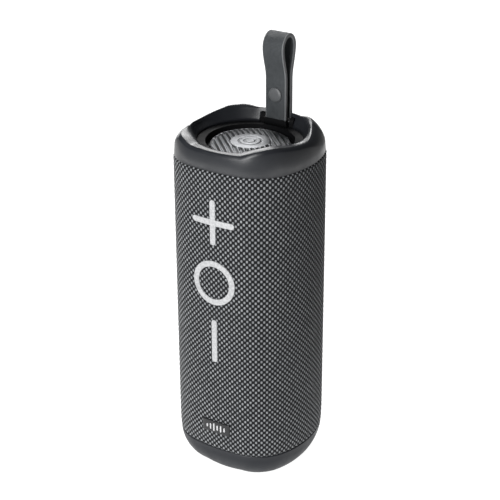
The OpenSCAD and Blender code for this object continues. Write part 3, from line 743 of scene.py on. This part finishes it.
ICONS = {
    "power": [arc(0, 1.5, 120, 420), [(0, 0.5), (0, 1.9)]],
    "pairing": [arc(-0.7, 1.1, 30, 330), arc(0.7, 1.1, -150, 150)],
    "bass": [[(-1.4, -1.2), (-1.4, -0.2)], [(0, -1.2), (0, 0.6)], [(1.4, -1.2), (1.4, 1.4)]],
}


def make_rear():
    half_w, bottom, top = PANEL[1][0], PANEL[0][2], PANEL[1][2]
    middle, half_h, corner = (bottom + top) / 2, (top - bottom) / 2, 0.8
    path = []
    for index in range(4):
        sign_x = (1, 1, -1, -1)[index]
        sign_z = (-1, 1, 1, -1)[index]
        for turn in np.radians(np.arange(0, 91, 15) - 90 + 90 * index):
            x = sign_x * (half_w - corner) + corner * math.cos(turn)
            z = middle + sign_z * (half_h - corner) + corner * math.sin(turn)
            path.append((x, front_y(x) - 0.35, z))
    add_piece(tube("rear_bezel", path, 0.6, closed=True), "housing", rubber)
    for body, node in (("power", "power_button"), ("pairing", "pairing_button"), ("bass", "bass_button")):
        low_b, high_b = (np.array(point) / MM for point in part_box(node))
        height = (low_b[2] + high_b[2]) / 2
        face = high_b[1]
        foot = low_b[1] - face
        flange = [(0.02, foot), (5.1, foot), (5.1, foot + 0.8), (4.0, foot + 0.8)]
        dish = [(4.0, -0.35), (3.9, -0.12), (3.65, 0), (2.6, -0.1), (1.4, -0.22), (0.02, -0.25)]
        cap = lathe(f"{body}_cap", flange + dish, np.array([0, face, height]), axis="Y")
        add_piece(cap, body, rubber, [node])
        y = face - 0.2
        for index, line in enumerate(ICONS[body]):
            points = [(-x, y, height + z) for x, z in line]
            add_piece(tube(f"{body}_icon_{index + 1}", points, 0.2, steps=8), body, badge_print)


# ---- stage ----

CAMERA_TURN = math.radians(32.33)
CAMERA_HEADING = math.radians(32.36)
CAMERA_AWAY = 634.2
CAMERA_HEIGHT = 416.8
CAMERA_PITCH = math.radians(25.6)
CAMERA_ROLL = math.radians(-0.29)
FOCAL_PIXELS = 1430.4
SENSOR = 36.0


def make_stage():
    """A pale floor that glows evenly in the camera's view and falls off beside and in front of it."""
    size = 15.0
    mesh = bpy.data.meshes.new("floor")
    corners = [(-size, -size, 0), (size, -size, 0), (size, size, 0), (-size, size, 0)]
    mesh.from_pydata(corners, [], [(0, 1, 2, 3)])
    floor = bpy.data.objects.new("floor", mesh)
    bpy.context.scene.collection.objects.link(floor)
    paint = Shader("pale_floor", (0.3, 0.3, 0.3), 0.9, specular=0.0)
    split = paint.tree.nodes.new("ShaderNodeSeparateXYZ")
    paint.tree.links.new(paint.place, split.inputs[0])

    def along(x_share, y_share):
        return paint.math("ADD", paint.math("MULTIPLY", split.outputs[0], x_share),
                          paint.math("MULTIPLY", split.outputs[1], y_share))

    near = along(math.sin(CAMERA_TURN), -math.cos(CAMERA_TURN))
    aside = paint.math("ABSOLUTE", along(math.cos(CAMERA_TURN), math.sin(CAMERA_TURN)))
    widening = paint.math("ADD", aside, paint.math("MULTIPLY", near, 0.16))
    beyond_side = paint.math("SUBTRACT", widening, 0.135)
    beyond_front = paint.math("SUBTRACT", near, 0.06)
    beyond = paint.math("MAXIMUM", beyond_side, beyond_front)
    paint.set("Emission Color", (1, 1, 1, 1))
    paint.link(paint.ramp(beyond, 0.0, 0.1, 1.0, 0.2), "Emission Strength")
    mesh.materials.append(paint.material)


def make_camera():
    camera = bpy.data.cameras.new("camera")
    camera.sensor_width = SENSOR
    camera.lens = FOCAL_PIXELS / 500 * SENSOR
    turn, heading, pitch = CAMERA_TURN, CAMERA_HEADING, CAMERA_PITCH
    level = math.cos(pitch)
    forward = Vector((-math.sin(heading) * level, math.cos(heading) * level, -math.sin(pitch)))
    right = Vector((math.cos(heading), math.sin(heading), 0))
    up = right.cross(forward)
    rolled_right = right * math.cos(CAMERA_ROLL) + up * math.sin(CAMERA_ROLL)
    rolled_up = up * math.cos(CAMERA_ROLL) - right * math.sin(CAMERA_ROLL)
    place = Vector((CAMERA_AWAY * math.sin(turn), -CAMERA_AWAY * math.cos(turn), CAMERA_HEIGHT)) * MM
    obj = bpy.data.objects.new("camera", camera)
    obj.matrix_world = Matrix((
        (rolled_right.x, rolled_up.x, -forward.x, place.x),
        (rolled_right.y, rolled_up.y, -forward.y, place.y),
        (rolled_right.z, rolled_up.z, -forward.z, place.z),
        (0, 0, 0, 1),
    ))
    camera.clip_start = 0.01
    bpy.context.scene.collection.objects.link(obj)
    bpy.context.scene.camera = obj


def area_light(name, turn, height, distance, size, energy):
    """A soft box that looks at the middle of the body; turn is counted from -Y towards +X."""
    light = bpy.data.lights.new(name, "AREA")
    light.shape = "RECTANGLE"
    light.size, light.size_y = size
    light.energy = energy
    obj = bpy.data.objects.new(name, light)
    place = Vector((distance * math.sin(turn), -distance * math.cos(turn), height))
    obj.location = place
    obj.rotation_euler = (Vector((0, 0, 0.1)) - place).to_track_quat("-Z", "Y").to_euler()
    bpy.context.scene.collection.objects.link(obj)


def make_lights():
    world = bpy.data.worlds.new("studio")
    world.use_nodes = True
    world.node_tree.nodes["Background"].inputs[0].default_value = (1, 1, 1, 1)
    world.node_tree.nodes["Background"].inputs[1].default_value = 0.05
    bpy.context.scene.world = world
    area_light("key", math.radians(3), 0.25, 0.37, (0.18, 0.5), 1.9)
    area_light("left", math.radians(-130), 0.3, 1.2, (0.9, 0.6), 6)
    area_light("back", math.radians(-145), 0.85, 0.7, (0.5, 0.4), 7)
    bpy.context.scene.view_settings.view_transform = "Standard"


make_camera()
make_lights()
make_stage()
dress_cad_nodes()
make_sleeve()
make_top_ring()
make_base_ring()
make_plate("top_radiator_face", "top_plate", "top_radiator", flip=False)
make_plate("bottom_radiator_face", "bottom_plate", "bottom_radiator", flip=True)
make_strap()
make_snap()
make_badge()
make_rear()
